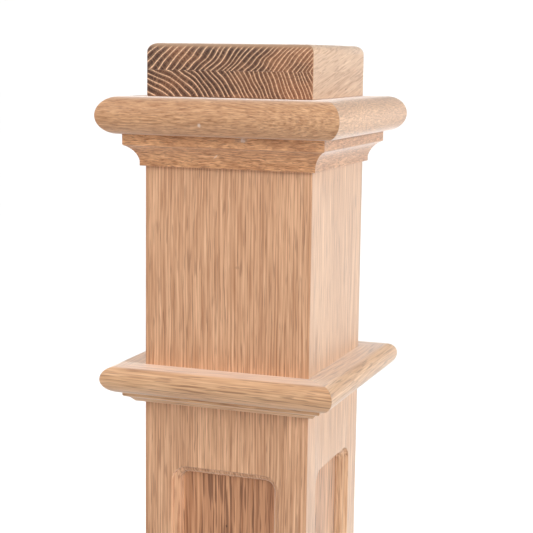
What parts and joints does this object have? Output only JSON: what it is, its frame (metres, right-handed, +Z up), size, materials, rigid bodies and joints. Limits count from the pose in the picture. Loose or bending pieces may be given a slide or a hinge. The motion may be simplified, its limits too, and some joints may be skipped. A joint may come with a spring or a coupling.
{
  "type": "newel post",
  "caption": "Square hollow box newel post with recessed round-cornered panels, a mitred collar, a bull-nosed cap on a cove moulding, a top block and a plinth.",
  "frame": {"origin": "middle of the foot, on the floor", "axes": "+Z up the post; the front face looks along -Y and the right face along +X"},
  "size_m": [0.2272, 0.2272, 1.397],
  "materials": {
    "shaft_oak": "bare sanded red oak, straight grain",
    "panel_oak": "bare sanded red oak, coarse streaked grain",
    "moulding_oak": "bare moulded red oak, grain along each strip",
    "block_oak": "bare red oak, dark end grain front and back, pale long grain at the sides"
  },
  "bodies": {
    "root": {"shaft_front": "shaft_oak", "shaft_right": "shaft_oak", "shaft_back": "shaft_oak", "shaft_left": "shaft_oak", "panel_front": "panel_oak", "panel_right": "panel_oak", "panel_back": "panel_oak", "panel_left": "panel_oak", "collar_front": "moulding_oak", "collar_right": "moulding_oak", "collar_back": "moulding_oak", "collar_left": "moulding_oak", "cap_cove_front": "moulding_oak", "cap_cove_right": "moulding_oak", "cap_cove_back": "moulding_oak", "cap_cove_left": "moulding_oak", "cap_plate_front": "moulding_oak", "cap_plate_right": "moulding_oak", "cap_plate_back": "moulding_oak", "cap_plate_left": "moulding_oak", "plinth_front": "moulding_oak", "plinth_right": "moulding_oak", "plinth_back": "moulding_oak", "plinth_left": "moulding_oak", "cap_block_lower_board": "block_oak", "cap_block_upper_board": "block_oak"}
  },
  "joints": []
}
